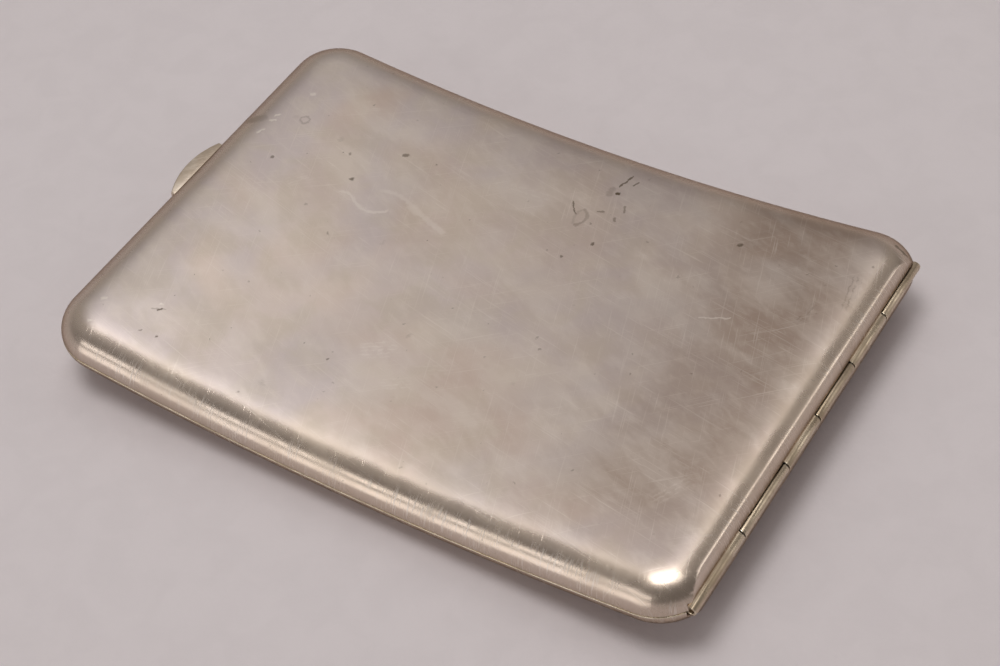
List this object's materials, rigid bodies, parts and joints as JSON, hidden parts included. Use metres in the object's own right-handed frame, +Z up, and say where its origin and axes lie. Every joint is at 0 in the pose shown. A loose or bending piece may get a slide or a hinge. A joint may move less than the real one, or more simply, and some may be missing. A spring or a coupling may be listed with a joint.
{
  "type": "cigarette box",
  "caption": "Flat pocket cigarette case, curved along its length, with rounded corners, a knuckle hinge on one short side and a sprung thumb catch on the other.",
  "frame": {"origin": "middle of the flat facet at the crown of the convex back, on which the case lies", "axes": "+X from the catch side to the hinge side, +Y along the hinge, +Z up through the lid"},
  "size_m": [0.1184, 0.08, 0.0139],
  "materials": {
    "silver_plate": "silver plate worn to a satin, with warm uneven tarnish and fine scratches",
    "hinge_metal": "plate rubbed thin over yellow metal",
    "gilt_fittings": "satin gilt wash",
    "spring_steel": "plain drawn and rolled steel",
    "elastic_web": "narrow woven elastic"
  },
  "bodies": {
    "base": {"base_shell": "silver_plate", "base_hinge_bearer": "gilt_fittings", "base_knuckle_1": "hinge_metal", "base_knuckle_2": "hinge_metal", "base_knuckle_3": "hinge_metal", "hinge_pin": "spring_steel", "bezel_strip_near": "gilt_fittings", "bezel_strip_far": "gilt_fittings", "catch_keeper": "gilt_fittings", "band_clip_catch": "gilt_fittings", "band_clip_hinge": "gilt_fittings", "elastic_band": "elastic_web"},
    "lid": {"lid_shell": "silver_plate", "lid_hinge_bearer": "gilt_fittings", "lid_knuckle_1": "hinge_metal", "lid_knuckle_2": "hinge_metal", "lid_knuckle_3": "hinge_metal", "catch_cover": "gilt_fittings", "catch_leaf_spring": "spring_steel", "spring_block_near": "gilt_fittings", "spring_block_far": "gilt_fittings"},
    "thumb": {"thumb_piece": "silver_plate"}
  },
  "joints": [
    {"name": "lid_hinge", "type": "hinge", "parent": "base", "child": "lid", "pos_m": [0.05722, 0, 0.00935], "axis": [0, 1, 0], "range_deg": [0, 170]},
    {"name": "thumb_push", "type": "slide", "parent": "lid", "child": "thumb", "axis": [0.9889, 0, -0.1486], "range_m": [0, 0.001], "stiffness_N_per_m": 1500, "springref_m": -0.0006, "deforming": ["catch_leaf_spring"]}
  ]
}
